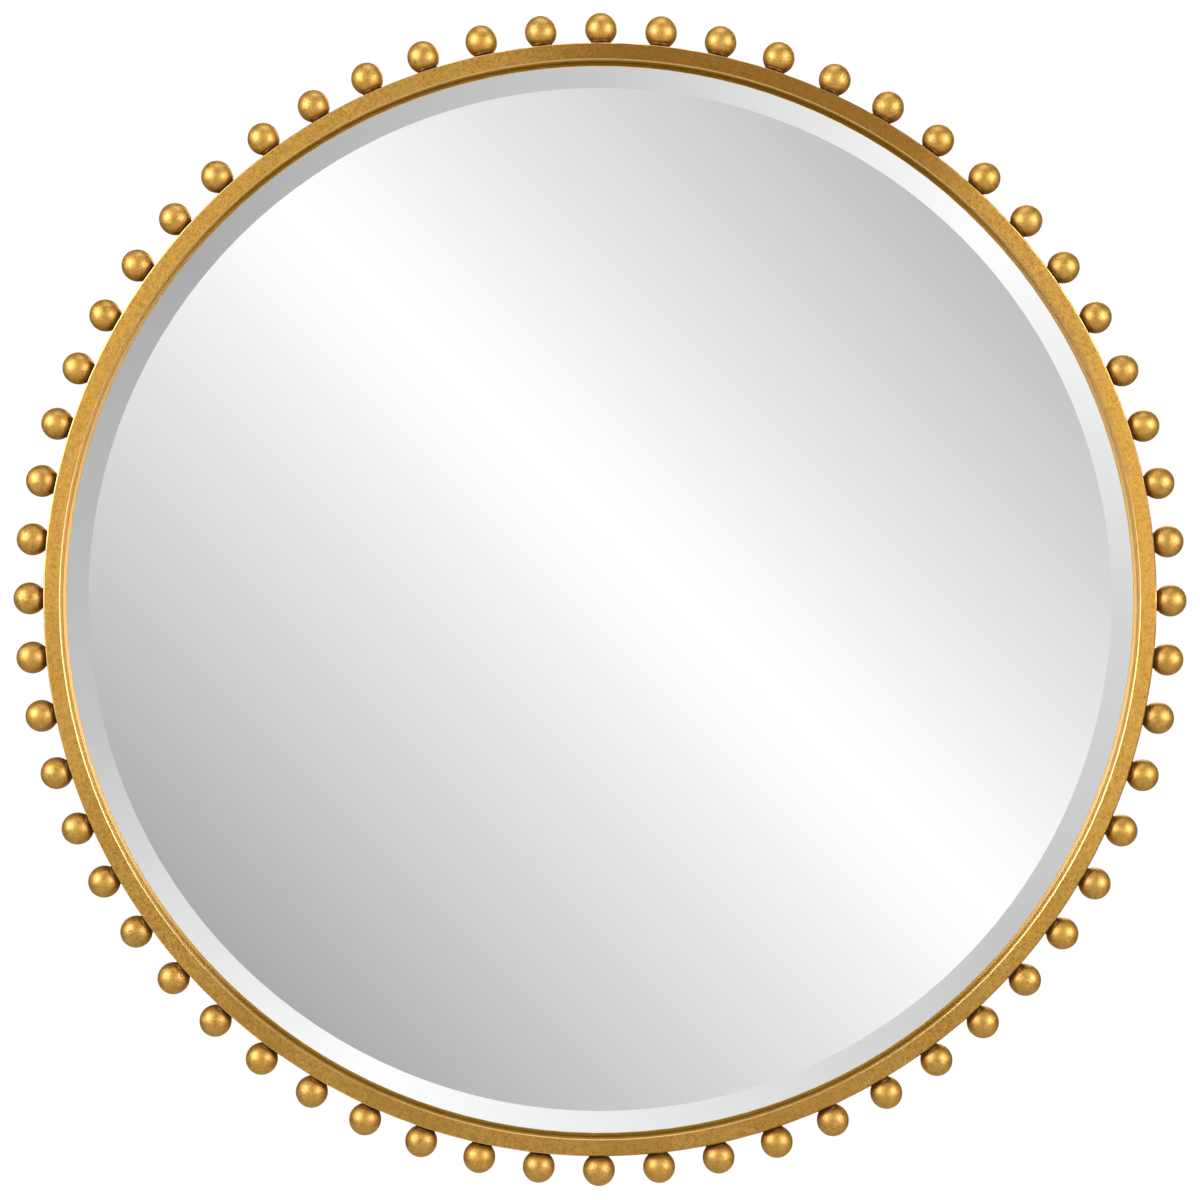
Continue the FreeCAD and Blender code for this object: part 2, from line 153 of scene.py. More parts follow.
class GildingSettings(bpy.types.PropertyGroup):
    leaf: colour("Leaf", "Gold leaf, laid fresh", "#B88C3A")
    leaf_deep: colour("Deep leaf", "Gold leaf where two layers lap and the tone is deeper", "#9C7024")
    leaf_pale: colour("Pale leaf", "Gold leaf on the crests of its creases", "#D3AC5E")
    # painted shade: the deep tone painted on one run near the top of the ring
    leaf_top_shade: colour("Double leaf", "Gold leaf laid double near the top", "#7F5212")
    leaf_edge: colour("Edge-on leaf", "What gold leaf turns white light to when seen edge-on", "#F5D096")
    # painted highlight: the pale tone painted along the arrises and on the wall's flanks
    leaf_highlight: colour("Rubbed leaf", "Gold leaf rubbed bright along the arrises", "#E9C283")
    # painted shade: the warmer, darker tone painted low on each ball, towards the ring
    leaf_foot_shade: colour("Warm leaf", "Rubbed leaf low on the balls", "#B06A20")
    # painted shade: the dark tone painted on the wall beside the glass, deepest in the recess
    leaf_recess_shade: colour("Stained leaf", "Gold leaf left dull on the wall beside the glass", "#6E5019")
    bole: colour("Bole", "Red clay ground that shows where the leaf is worn", "#54280F")
    # umber glaze and painted shade: the dark tone at the balls' seats and in the corner beside the glass
    glaze_and_shade: colour("Glaze", "Umber glaze that is left in the corners", "#2B1204")
    mottle: length("Mottle", "Size of the cloudy patches in the leaf", 4.5 * MM)
    grain: length("Grain", "Size of the fine creases in the leaf", 0.9 * MM)
    leaf_square: length("Leaf square", "Side of one sheet of leaf", 84 * MM)
    glaze_and_shade_reach: length("Glaze reach", "How far the glaze climbs from a ball's seat", 7.5 * MM)
    # where along the ring the painted shade near the top lies, and how long it runs
    top_shade_middle: length("Double leaf, middle", "From the top round to the double run's middle",
                          165 * MM)
    top_shade_run: length("Double leaf, length", "How long the double run is", 440 * MM)
    ball_lead: bpy.props.FloatProperty(name="Ball lead", default=math.radians(0.11),
                                       description="How far the row of balls is set round",
                                       subtype="ANGLE", unit="ROTATION")
    ball_drift: bpy.props.FloatProperty(name="Ball drift", description="How far hand spacing drifts",
                                        default=math.radians(0.28), subtype="ANGLE", unit="ROTATION")


class GlassSettings(bpy.types.PropertyGroup):
    silver: colour("Silvering", "Tone of the silvered plate", "#FCFDFD")


class BackSettings(bpy.types.PropertyGroup):
    board: colour("Board", "Sanded fibreboard", "#8A6A45")
    fibre_pale: colour("Pale fibre", "The board's palest fibres", "#A98A62")
    fibre_dark: colour("Dark fibre", "Flecks of bark in the board", "#5E432A")
    rubber: colour("Rubber", "Moulded rubber of the bumpers", "#161616")
    foam: colour("Foam", "Closed-cell foam", "#1B1B1C")
    coat: colour("Powder coat", "Powder coat of the hanger plates", "#151515")
    zinc: colour("Zinc", "Zinc plate of the screws, straps and rings", "#BFC0BC")
    fibre: length("Fibre", "Width of the board's pressed fibres", 1.2 * MM)
    tape_radius: length("Tape edge", "How far the tape's edges are rounded", 0.2 * MM)
    tape_setback: length("Tape setback", "From the ring's opening out to the tape", 1.5 * MM)
    bevel_slope: bpy.props.FloatProperty(name="Bevel slope", description="Fall of the bevel per length",
                                         default=1.5 / 31.75, min=0, max=1, subtype="FACTOR")
    sheet_radius: length("Sheet edge", "How far the foam sheet's edges are rounded", 0.5 * MM)
    bumper_edge: length("Bumper edge", "How far a bumper's edges are rounded", 0.9 * MM)
    bumper_taper: length("Bumper taper", "How much less its face's radius is than its foot's", 2 * MM)
    well_radius: length("Bumper well", "Radius of the well in a bumper's face", 5.2 * MM)
    well_depth: length("Bumper well depth", "How deep the well is", 4 * MM)


class StageSettings(bpy.types.PropertyGroup):
    floor_drop: length("Floor", "How far the floor lies under the mirror's middle", 1.5)
    floor_radius: length("Floor radius", "Radius of the round floor", 2.5)
    floor_tone: colour("Floor tone", "Pale matt floor", "#CBC9C5")
    camera_distance: length("Camera distance", "From the camera to the ring's front face", 2.4)
    lens: bpy.props.FloatProperty(name="Lens", description="Focal length on a 36 mm sensor",
                                  default=75.9, min=1, subtype="DISTANCE_CAMERA")
    cloth_fade: bpy.props.FloatProperty(name="Cloth fade", default=0.35, min=0, max=0.5,
                                        description="Share of a softbox's width that fades at each side",
                                        subtype="FACTOR")
    box_left: bpy.props.FloatProperty(name="Left softbox", description="Power of the left softbox",
                                      default=139, min=0, subtype="POWER", unit="POWER")
    box_right: bpy.props.FloatProperty(name="Right softbox", description="Power of the right softbox",
                                       default=111, min=0, subtype="POWER", unit="POWER")
    box_top: bpy.props.FloatProperty(name="Top softbox", description="Power of the top softbox",
                                     default=24, min=0, subtype="POWER", unit="POWER")
    box_rear: bpy.props.FloatProperty(name="Rear softbox", description="Power of the rear softbox",
                                      default=44, min=0, subtype="POWER", unit="POWER")


# ---------------------------------------------------------------- finishes


def ring_places(tree):
    """Object coordinates, the same wound out flat, and its parts: along the ring, out and into it."""
    spot = add(tree, "ShaderNodeTexCoord").outputs["Object"]
    parts = add(tree, "ShaderNodeSeparateXYZ", {0: spot}).outputs
    along = maths(tree, "MULTIPLY", maths(tree, "ARCTAN2", parts["X"], parts["Z"]), RIM)
    level = add(tree, "ShaderNodeCombineXYZ", {"X": parts["X"], "Z": parts["Z"]}).outputs[0]
    out = add(tree, "ShaderNodeVectorMath", {0: level}, operation="LENGTH").outputs["Value"]
    wound = add(tree, "ShaderNodeCombineXYZ", {"X": along, "Y": out, "Z": parts["Y"]}).outputs[0]
    return spot, wound, along, out, parts["Y"]


def span(tree, value, low, high, start=0.0, end=1.0):
    """A smooth rise from start to end as the value goes from low to high."""
    return add(tree, "ShaderNodeMapRange", {"Value": value, "From Min": low, "From Max": high,
                                            "To Min": start, "To Max": end},
               interpolation_type="SMOOTHSTEP").outputs["Result"]


def noise(tree, place, size, detail=3.0, roughness=0.55, distortion=0.0):
    """Cloudy noise whose patches are about the given size, in metres."""
    made = add(tree, "ShaderNodeTexNoise", {"Vector": place, "Scale": 1 / size, "Detail": detail,
                                            "Roughness": roughness, "Distortion": distortion})
    return made.outputs["Fac"]


def maths(tree, operation, *values):
    """One step of arithmetic on values or links."""
    return add(tree, "ShaderNodeMath", dict(enumerate(values)), operation=operation).outputs[0]


def tint(tree, share, under, over):
    """Mix two colours by a share. Colours are tuples or links."""
    mixed = add(tree, "ShaderNodeMix", {"Factor": share}, data_type="RGBA")
    for socket, source in ((6, under), (7, over)):
        if isinstance(source, bpy.types.NodeSocket):
            tree.links.new(source, mixed.inputs[socket])
        else:
            mixed.inputs[socket].default_value = (*source, 1)
    return mixed.outputs[2]


def ramp(tree, value, stops):
    """Colours by a value from 0 to 1. Stops are (place, sRGB hex)."""
    made = add(tree, "ShaderNodeValToRGB", {"Fac": value})
    while len(made.color_ramp.elements) < len(stops):
        made.color_ramp.elements.new(0.5)
    for element, (place, code) in zip(made.color_ramp.elements, stops):
        element.position, element.color = place, (*srgb(code), 1)
    return made.outputs["Color"]


def bumped(tree, shader, height, depth, strength=1.0, under=None):
    """Raise the surface by a height in 0..1 that stands for a depth in metres."""
    inputs = {"Height": height, "Distance": depth, "Strength": strength}
    if under is not None:
        inputs["Normal"] = under
    bump = add(tree, "ShaderNodeBump", inputs).outputs["Normal"]
    tree.links.new(bump, shader.inputs["Normal"])
    return bump


def lay_sheets(tree, look, wound, along, cloud, fine, tone):
    """Sheets of leaf that lap along the ring, with painted shade near the top. Returns the leaf's tone
    and where it is worn.
    """
    # each sheet is a little deeper or paler than the next, and its edges are cloudy
    sheet = maths(tree, "ADD", maths(tree, "DIVIDE", along, look.leaf_square),
                  maths(tree, "MULTIPLY", cloud, 0.05))
    share = maths(tree, "FRACT", sheet)
    lap = maths(tree, "MULTIPLY", span(tree, share, 0.975, 0.985), span(tree, share, 1.0, 0.99))
    one = add(tree, "ShaderNodeTexWhiteNoise", {"W": maths(tree, "FLOOR", sheet)},
              noise_dimensions="1D").outputs["Value"]
    tone = tint(tree, maths(tree, "MULTIPLY", one, 0.3), tone, look.leaf_deep)
    # painted shade: one run near the top of the ring is painted deeper than the rest, where the top lies
    # in shade
    top_shade = span(tree, maths(tree, "ABSOLUTE", maths(tree, "SUBTRACT", along, look.top_shade_middle)),
                  0.3 * look.top_shade_run, 0.65 * look.top_shade_run, 0.85, 0.0)
    deeper = tint(tree, span(tree, fine, 0.4, 0.75), look.leaf_top_shade, look.leaf_deep)
    tone = tint(tree, top_shade, tone, deeper)
    # hairlines cross the ring, aslant and in loose groups
    stretched = add(tree, "ShaderNodeMapping", {"Vector": wound, "Scale": (1.0, 0.06, 0.06),
                                                "Rotation": (0, 0, math.radians(12))}).outputs[0]
    hairs = span(tree, noise(tree, stretched, 0.7 * MM, 2.0, 0.5), 0.66, 0.72)
    hairs = maths(tree, "MULTIPLY", hairs, span(tree, noise(tree, wound, 42 * MM, 1.0), 0.48, 0.6))
    worn = maths(tree, "MAXIMUM", maths(tree, "MULTIPLY", lap, 0.14),
                 maths(tree, "MULTIPLY", hairs, 0.45))
    return tone, worn


def glaze_and_shade_on_ring(tree, look, along, out, into):
    """Where umber glaze and painted shade lie on the ring: round each ball's foot and in the corner
    beside the glass.
    """
    apart = math.tau * RIM / BEADS
    drift = maths(tree, "MULTIPLY", maths(tree, "SINE", maths(tree, "MULTIPLY", along, 2 / RIM)),
                  look.ball_drift * RIM)
    even = maths(tree, "SUBTRACT", maths(tree, "SUBTRACT", along, look.ball_lead * RIM), drift)
    nearest = maths(tree, "SNAP", maths(tree, "ADD", even, apart / 2), apart)
    aside = maths(tree, "SUBTRACT", even, nearest)
    deep = maths(tree, "SUBTRACT", into, BEAD_LEVEL)
    from_foot = maths(tree, "SQRT", maths(tree, "ADD", maths(tree, "MULTIPLY", aside, aside),
                                          maths(tree, "MULTIPLY", deep, deep)))
    seat = span(tree, from_foot, BEAD_FOOT, BEAD_FOOT + 0.8 * look.glaze_and_shade_reach, 1.0, 0.0)
    seat = maths(tree, "MULTIPLY", seat, span(tree, out, RIM - 0.7 * MM, RIM - 0.1 * MM))
    corner = span(tree, into, LIP - 3.2 * MM, LIP - 0.6 * MM)
    corner = maths(tree, "MULTIPLY", corner, span(tree, out, SIGHT + 0.4 * MM, SIGHT + 0.1 * MM))
    return maths(tree, "MAXIMUM", seat, maths(tree, "MULTIPLY", corner, 0.8))


def finish_edges(tree, look, along, out, into, tone):
    """The ring's arrises, rubbed smoother and painted pale as a painted highlight, and its wall beside
    the glass, left dull, with painted shade that deepens into the recess and painted light at its flanks.

    Returns the tone, and where the arrises and the wall are.
    """
    edge = span(tree, out, SIGHT + 1.0 * MM, SIGHT + 0.6 * MM)
    rim = span(tree, out, RIM - 1.1 * MM, RIM - 0.7 * MM)
    rubbed_and_highlit = maths(tree, "MULTIPLY", maths(tree, "MAXIMUM", edge, rim),
                   span(tree, into, BAR_FRONT + 2.9 * MM, BAR_FRONT + 2.3 * MM))
    # painted highlight: the arrises are painted pale, on top of being rubbed smoother
    tone = tint(tree, maths(tree, "MULTIPLY", rubbed_and_highlit, 0.6), tone, look.leaf_highlight)
    wall = maths(tree, "MULTIPLY", span(tree, out, SIGHT + 0.25 * MM, SIGHT + 0.05 * MM),
                 span(tree, into, BAR_FRONT + 2.0 * MM, BAR_FRONT + 3.0 * MM))
    # painted shade: the wall beside the glass is painted darker the deeper it lies in the recess
    recess_shade = maths(tree, "MULTIPLY", wall, span(tree, into, BAR_FRONT + 2.0 * MM, LIP, 0.15, 0.85))
    # painted light: at the flanks of the ring, left and right, the painted shade is left off and the wall
    # is painted pale
    turned = maths(tree, "ABSOLUTE", maths(tree, "SINE", maths(tree, "DIVIDE", along, RIM)))
    lit_flank = span(tree, turned, 0.6, 0.95)
    tone = tint(tree, maths(tree, "MULTIPLY", recess_shade, maths(tree, "SUBTRACT", 1.0, lit_flank)), tone,
                look.leaf_recess_shade)
    tone = tint(tree, maths(tree, "MULTIPLY", maths(tree, "MULTIPLY", wall, lit_flank), 0.6), tone,
                look.leaf_highlight)
    return tone, rubbed_and_highlit, wall


def gold_leaf(name, look, on_ring):
    """Gold leaf over red bole on steel, rubbed along its edges and glazed with umber. Its colour also
    holds painted light: a pale painted highlight on the arrises and the wall's flanks, and painted shade
    near the top, in the recess by the glass, at the balls' seats and low on the balls.

    A satin metal: warm, finely crumpled, with the red ground showing in specks. The balls are gilded
    by hand after they are soldered on, and are duller and more crumpled than the ring.
    """
    made, tree, shader = new_material(name, look.leaf, 1.0, 0.4, Coat_Roughness=0.3,
                                      Specular_Tint=(*look.leaf_edge, 1))
    spot, wound, along, out, into = ring_places(tree)
    place = wound if on_ring else spot
    # cloudy tone, a few millimetres across, and a finer one like crumpled foil
    cloud = noise(tree, place, look.mottle, 5.0, 0.65)
    fine = noise(tree, place, look.grain * 1.6, 5.0, 0.7, 0.4)
    tone = tint(tree, span(tree, cloud, 0.3, 0.66), look.leaf_deep, look.leaf)
    tone = tint(tree, span(tree, fine, 0.42, 0.8), tone, look.leaf_pale)
    # specks where the leaf is rubbed through, in loose groups
    grouped = span(tree, noise(tree, place, 26 * MM, 3.0), 0.42, 0.6)
    pricked = (0.6, 0.67) if on_ring else (0.57, 0.65)
    pricks = span(tree, noise(tree, place, 1.6 * MM, 3.0, 0.6, 0.6), *pricked)
    worn = maths(tree, "MULTIPLY", grouped, pricks)
    if on_ring:
        tone, lapped = lay_sheets(tree, look, wound, along, cloud, fine, tone)
        worn = maths(tree, "MAXIMUM", worn, lapped)
    tone = tint(tree, worn, tone, look.bole)
    if on_ring:
        seat = glaze_and_shade_on_ring(tree, look, along, out, into)
    else:
        # painted shade: low on the ball, towards the ring, the leaf is painted a warmer, darker tone, and
        # its foot is dark with umber glaze and painted shade
        warm = span(tree, out, RIM + 0.5 * look.glaze_and_shade_reach, RIM + 1.3 * look.glaze_and_shade_reach, 0.3, 0.0)
        tone = tint(tree, warm, tint(tree, 0.15, tone, look.leaf_pale), look.leaf_foot_shade)
        seat = span(tree, out, RIM + 0.2 * look.glaze_and_shade_reach, RIM + 0.85 * look.glaze_and_shade_reach, 1.0, 0.0)
    # umber glaze and painted shade: the seats and the corner are painted dark where shade falls
    glazed_and_shaded = maths(tree, "MULTIPLY", seat, span(tree, cloud, 0.2, 0.6, 0.88, 1.0))
    tone = tint(tree, glazed_and_shaded, tone, look.glaze_and_shade)
    dull = maths(tree, "MAXIMUM", worn, maths(tree, "MULTIPLY", glazed_and_shaded, 0.35))
    satin = (0.42, 0.5) if on_ring else (0.49, 0.6)
    rough = span(tree, cloud, 0.3, 0.7, *satin)
    coat = 0.35 if on_ring else 0.4
    crumple = fine
    if on_ring:
        tone, rubbed_and_highlit, wall = finish_edges(tree, look, along, out, into, tone)
        crumple = maths(tree, "MULTIPLY", fine, maths(tree, "SUBTRACT", 1.0, rubbed_and_highlit))
        rough = maths(tree, "SUBTRACT", rough, maths(tree, "MULTIPLY", rubbed_and_highlit, 0.12))
        rough = maths(tree, "ADD", rough, maths(tree, "MULTIPLY", wall, 0.04))
        coat = maths(tree, "MULTIPLY", maths(tree, "SUBTRACT", 1.0, wall), coat)
    tree.links.new(tone, shader.inputs["Base Color"])
    tree.links.new(maths(tree, "SUBTRACT", 1.0, maths(tree, "MULTIPLY", dull, 0.55)),
                   shader.inputs["Metallic"])
    tree.links.new(maths(tree, "ADD", rough, maths(tree, "MULTIPLY", dull, 0.25)),
                   shader.inputs["Roughness"])
    tree.links.new(maths(tree, "MULTIPLY", maths(tree, "SUBTRACT", 1.0, glazed_and_shaded), coat),
                   shader.inputs["Coat Weight"])
    # the leaf swells slowly, and its creases lie on top of that
    swell, creases = (0.05 * MM, 0.025 * MM) if on_ring else (0.26 * MM, 0.1 * MM)
    soft = bumped(tree, shader, noise(tree, place, 4.5 * MM, 2.0), swell)
    bumped(tree, shader, crumple, creases, 1.0, soft)
    return made


def silvered_plate(look):
    """Float glass silvered on its back and polished: a neutral mirror with no texture of its own."""
    return new_material("silvered_glass", look.silver, 1.0, 0.0)[0]


def sanded_fibreboard(look):
    """Medium-density fibreboard, sanded: fine tan fibres pressed flat, with dark flecks of bark."""
    made, tree, shader = new_material("sanded_fibreboard", look.board, 0.0, 0.75, Specular_IOR_Level=0.3)
    spot = add(tree, "ShaderNodeTexCoord").outputs["Object"]
    upright = add(tree, "ShaderNodeMapping", {"Vector": spot, "Scale": (1.0, 1.0, 0.3)}).outputs[0]
    level = add(tree, "ShaderNodeMapping", {"Vector": spot, "Scale": (0.3, 1.0, 1.0)}).outputs[0]
    # real fibres are 2 mm long and a tenth as wide: they are drawn coarser, so that they show
    fibres = maths(tree, "MAXIMUM", noise(tree, upright, look.fibre, 4.0, 0.65, 1.2),
                   noise(tree, level, look.fibre, 4.0, 0.65, 1.2))
    flecks = span(tree, noise(tree, spot, 1.4 * look.fibre, 2.0, 0.5, 0.8), 0.64, 0.7)
    cloud = noise(tree, spot, 120 * MM, 4.0)
    tone = tint(tree, span(tree, fibres, 0.42, 0.72), look.board, look.fibre_pale)
    tone = tint(tree, span(tree, cloud, 0.4, 0.7, 0.0, 0.14), tone, look.fibre_dark)
    tone = tint(tree, maths(tree, "MULTIPLY", flecks, 0.7), tone, look.fibre_dark)
    tree.links.new(tone, shader.inputs["Base Color"])
    tree.links.new(span(tree, fibres, 0.4, 0.8, 0.7, 0.85), shader.inputs["Roughness"])
    bumped(tree, shader, fibres, 0.06 * MM, 0.8)
    return made


def moulded_rubber(look):
    """Moulded black rubber: matt, with a faint spark-eroded grain and a dusty bloom."""
    made, tree, shader = new_material("moulded_rubber", look.rubber, 0.0, 0.7, Specular_IOR_Level=0.4)
    spot = add(tree, "ShaderNodeTexCoord").outputs["Object"]
    grain = noise(tree, spot, 0.9 * MM, 3.0)
    bloom = noise(tree, spot, 14 * MM, 3.0)
    tone = tint(tree, span(tree, bloom, 0.45, 0.75, 0.0, 0.5), look.rubber, srgb("#2E2D2B"))
    tree.links.new(tone, shader.inputs["Base Color"])
    tree.links.new(span(tree, bloom, 0.3, 0.7, 0.62, 0.78), shader.inputs["Roughness"])
    bumped(tree, shader, grain, 0.06 * MM, 0.8)
    return made


def closed_cell_foam(look):
    """Closed-cell foam: dull black, with burst cells along its cut edges, each painted darker in its
    hollow as painted shade.
    """
    made, tree, shader = new_material("closed_cell_foam", look.foam, 0.0, 0.9, Specular_IOR_Level=0.25)
    spot = add(tree, "ShaderNodeTexCoord").outputs["Object"]
    cells = add(tree, "ShaderNodeTexVoronoi",
                {"Vector": spot, "Scale": 1 / (0.8 * MM)}).outputs["Distance"]
    # painted shade: each cell is painted darker in its hollow
    tone = tint(tree, span(tree, cells, 0.1, 0.6), srgb("#0D0D0E"), look.foam)
    tree.links.new(tone, shader.inputs["Base Color"])
    bumped(tree, shader, cells, 0.15 * MM, 0.7)
    return made


def powder_coat(look):
    """Black powder coat on steel plate: satin, with a fine orange-peel texture."""
    made, tree, shader = new_material("powder_coat", look.coat, 0.0, 0.42, Specular_IOR_Level=0.5)
    spot = add(tree, "ShaderNodeTexCoord").outputs["Object"]
    peel = noise(tree, spot, 1.3 * MM, 2.0, 0.4)
    patch = noise(tree, spot, 22 * MM, 3.0)
    tone = tint(tree, span(tree, patch, 0.45, 0.75, 0.0, 0.6), look.coat, srgb("#242423"))
    tree.links.new(tone, shader.inputs["Base Color"])
    tree.links.new(span(tree, patch, 0.3, 0.7, 0.36, 0.5), shader.inputs["Roughness"])
    bumped(tree, shader, peel, 0.08 * MM, 0.9)
    return made


def zinc_plate(look):
    """Bright zinc plate on steel: a cool metal with a faint milky cloud and fine tumbling marks."""
    made, tree, shader = new_material("zinc_plate", look.zinc, 1.0, 0.34)
    spot = add(tree, "ShaderNodeTexCoord").outputs["Object"]
    cloud = noise(tree, spot, 5 * MM, 4.0)
    marks = noise(tree, spot, 0.5 * MM, 3.0, 0.7, 1.0)
    tone = tint(tree, span(tree, cloud, 0.35, 0.7), srgb("#A9ABA6"), look.zinc)
    tone = tint(tree, span(tree, marks, 0.6, 0.8, 0.0, 0.5), tone, srgb("#8C8A80"))
    tree.links.new(tone, shader.inputs["Base Color"])
    tree.links.new(span(tree, cloud, 0.3, 0.7, 0.28, 0.42), shader.inputs["Roughness"])
    bumped(tree, shader, marks, 0.03 * MM, 0.6)
    return made


def matt_floor(look):
    """Smooth matt plaster floor, pale and slightly uneven in tone."""
    made, tree, shader = new_material("matt_floor", look.floor_tone, 0.0, 0.9, Specular_IOR_Level=0.2)
    spot = add(tree, "ShaderNodeTexCoord").outputs["Object"]
    cloud = noise(tree, spot, 0.6, 3.0)
    tone = tint(tree, span(tree, cloud, 0.4, 0.7, 0.0, 0.3), look.floor_tone, srgb("#DFDDD9"))
    tree.links.new(tone, shader.inputs["Base Color"])
    return made


# ---------------------------------------------------------------- making pieces


def piece_from(name, mesh_maker, finish, body):
    """A new piece from a bmesh maker, dressed, riding on a body."""
    data = bpy.data.meshes.new(name)
    shape = bmesh.new()
    mesh_maker(shape)
    bmesh.ops.remove_doubles(shape, verts=shape.verts, dist=0.002 * MM)
    bmesh.ops.recalc_face_normals(shape, faces=shape.faces)
    shape.to_mesh(data)
    shape.free()
    data.materials.append(finish)
    made = bpy.data.objects.new(name, data)
    bpy.context.collection.objects.link(made)
    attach(made, body)
    return made


def smooth(made, angle=40):
    """Smooth shading, with edges sharper than the angle kept crisp."""
    data = made.data
    data.polygons.foreach_set("use_smooth", [True] * len(data.polygons))
    data.set_sharp_from_angle(angle=math.radians(angle))


def spun(shape, corners, steps, rounding, segments=3):
    """Spin a closed section of (radius, y) corners about the Y axis, with its corners rounded first."""
    shape.faces.new([shape.verts.new((radius, y, 0)) for radius, y in corners])
    bmesh.ops.bevel(shape, geom=shape.verts[:], offset=rounding, affect="VERTICES",
                    segments=segments, profile=0.5, material=-1)
    bmesh.ops.delete(shape, geom=shape.faces[:], context="FACES_ONLY")
    bmesh.ops.spin(shape, geom=shape.verts[:] + shape.edges[:], cent=(0, 0, 0), axis=(0, 1, 0),
                   dvec=(0, 0, 0), angle=math.tau, steps=steps, use_merge=True, use_duplicate=False)


# ---------------------------------------------------------------- operators


class MIRROR_OT_gild_ring(bpy.types.Operator):
    """Gild the flat-bar ring and the band behind it"""
    bl_idname = "beaded_mirror.gild_ring"
    bl_label = "Gild the ring"

    def execute(self, context):
        leaf = gold_leaf("gold_leaf_on_ring", context.scene.mirror_gilding, True)
        dress("front_ring", leaf)
        dress("rear_band", leaf)
        return {"FINISHED"}


class MIRROR_OT_gild_balls(bpy.types.Operator):
    """Gild the balls"""
    bl_idname = "beaded_mirror.gild_balls"
    bl_label = "Gild the balls"

    def execute(self, context):
        leaf = gold_leaf("gold_leaf_on_balls", context.scene.mirror_gilding, False)
        for hour in range(1, HOURS + 1):
            dress(f"beads_hour_{hour:02d}", leaf)
        return {"FINISHED"}


class MIRROR_OT_silver_glass(bpy.types.Operator):
    """Silver the bevelled plate"""
    bl_idname = "beaded_mirror.silver_glass"
    bl_label = "Silver the glass"

    def execute(self, context):
        dress("mirror_glass", silvered_plate(context.scene.mirror_glass_look))
        return {"FINISHED"}


class MIRROR_OT_lay_foam(bpy.types.Operator):
    """Lay the setting tape under the lip and the foam sheet behind the glass"""
    bl_idname = "beaded_mirror.lay_foam"
    bl_label = "Lay the foam"

    def execute(self, context):
        look = context.scene.mirror_back
        foam = closed_cell_foam(look)
        low, high = box_of("setting_tape")

        def tape(shape):
            inner = SIGHT + look.tape_setback
            near = high.y - (high.x - inner) * look.bevel_slope
            spun(shape, ((inner, low.y), (high.x, low.y), (high.x, high.y), (inner, near)), 192,
                 look.tape_radius)

        def sheet(shape):
            low, high = box_of("foam_liner")
            bmesh.ops.create_circle(shape, cap_ends=True, radius=high.x, segments=192,
                                    matrix=Matrix.Translation((0, low.y, 0)) @ Matrix.Rotation(
                                        math.pi / 2, 4, "X"))
            raised = bmesh.ops.extrude_face_region(shape, geom=shape.faces[:])["geom"]
            bmesh.ops.translate(shape, vec=(0, high.y - low.y, 0),
                                verts=[part for part in raised if isinstance(part, bmesh.types.BMVert)])
            rims = [edge for edge in shape.edges if edge.calc_face_angle(0) > 1]
            bmesh.ops.bevel(shape, geom=rims, offset=look.sheet_radius, affect="EDGES", segments=3,
                            profile=0.5, material=-1)

        for name, maker, node in (("setting_tape_foam", tape, "setting_tape"),
                                  ("backing_foam_sheet", sheet, "foam_liner")):
            made = piece_from(name, maker, foam, "frame")
            smooth(made)
            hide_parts(node)
        return {"FINISHED"}


class MIRROR_OT_back_board(bpy.types.Operator):
    """Finish the backing board"""
    bl_idname = "beaded_mirror.back_board"
    bl_label = "Back the mirror"

    def execute(self, context):
        dress("backing_board", sanded_fibreboard(context.scene.mirror_back))
        return {"FINISHED"}


class MIRROR_OT_mould_bumpers(bpy.types.Operator):
    """Mould the four rubber bumpers, each held by a domed tack in its well"""
    bl_idname = "beaded_mirror.mould_bumpers"
    bl_label = "Mould the bumpers"

    def execute(self, context):
        look = context.scene.mirror_back
        rubber, zinc = moulded_rubber(look), zinc_plate(look)
        for i in range(BUMPERS):
            low, high = box_of(f"bumper_{i + 1}")
            middle = (low + high) / 2
            foot, face = (high.x - low.x) / 2, (high.x - low.x) / 2 - look.bumper_taper
            well, bore, floor = look.well_radius, look.well_radius / 2, high.y - look.well_depth
            place = (middle.x, 0, middle.z)

            def bumper(shape):
                spun(shape, ((foot, low.y), (face, high.y), (well, high.y), (well, floor),
                             (bore, floor), (bore, low.y)), 48, look.bumper_edge)
                bmesh.ops.translate(shape, vec=place, verts=shape.verts[:])

            def tack(shape):
                bmesh.ops.create_uvsphere(shape, u_segments=24, v_segments=12, radius=well * 0.8)
                bmesh.ops.bisect_plane(shape, geom=shape.verts[:] + shape.edges[:] + shape.faces[:],
                                       plane_co=(0, 0, 0), plane_no=(0, 1, 0), clear_inner=True)
                bmesh.ops.scale(shape, vec=(1, 0.45, 1), verts=shape.verts[:])
                bmesh.ops.holes_fill(shape, edges=[edge for edge in shape.edges if edge.is_boundary])
                bmesh.ops.translate(shape, vec=(place[0], floor, place[2]), verts=shape.verts[:])

            made = piece_from(f"bumper_{i + 1}_moulded", bumper, rubber, "frame")
            smooth(made)
            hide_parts(f"bumper_{i + 1}")
            smooth(piece_from(f"bumper_tack_{i + 1}", tack, zinc, "frame"))
        return {"FINISHED"}


class MIRROR_OT_fit_hardware(bpy.types.Operator):
    """Finish the hanger plates, straps, D-rings, turn-buttons and their fasteners"""
    bl_idname = "beaded_mirror.fit_hardware"
    bl_label = "Fit the hardware"

    def execute(self, context):
        look = context.scene.mirror_back
        coat, zinc = powder_coat(look), zinc_plate(look)
        for side in ("left", "right"):
            dress(f"hanger_plate_{side}", coat)
            dress(f"hanger_strap_{side}", zinc)
            dress(f"d_ring_{side}", zinc)
        for name in NODES:
            fastener = name in ("button_screws", "plate_bolts", "strap_rivets")
            if name.startswith("turn_button") or fastener:
                dress(name, zinc)
        return {"FINISHED"}


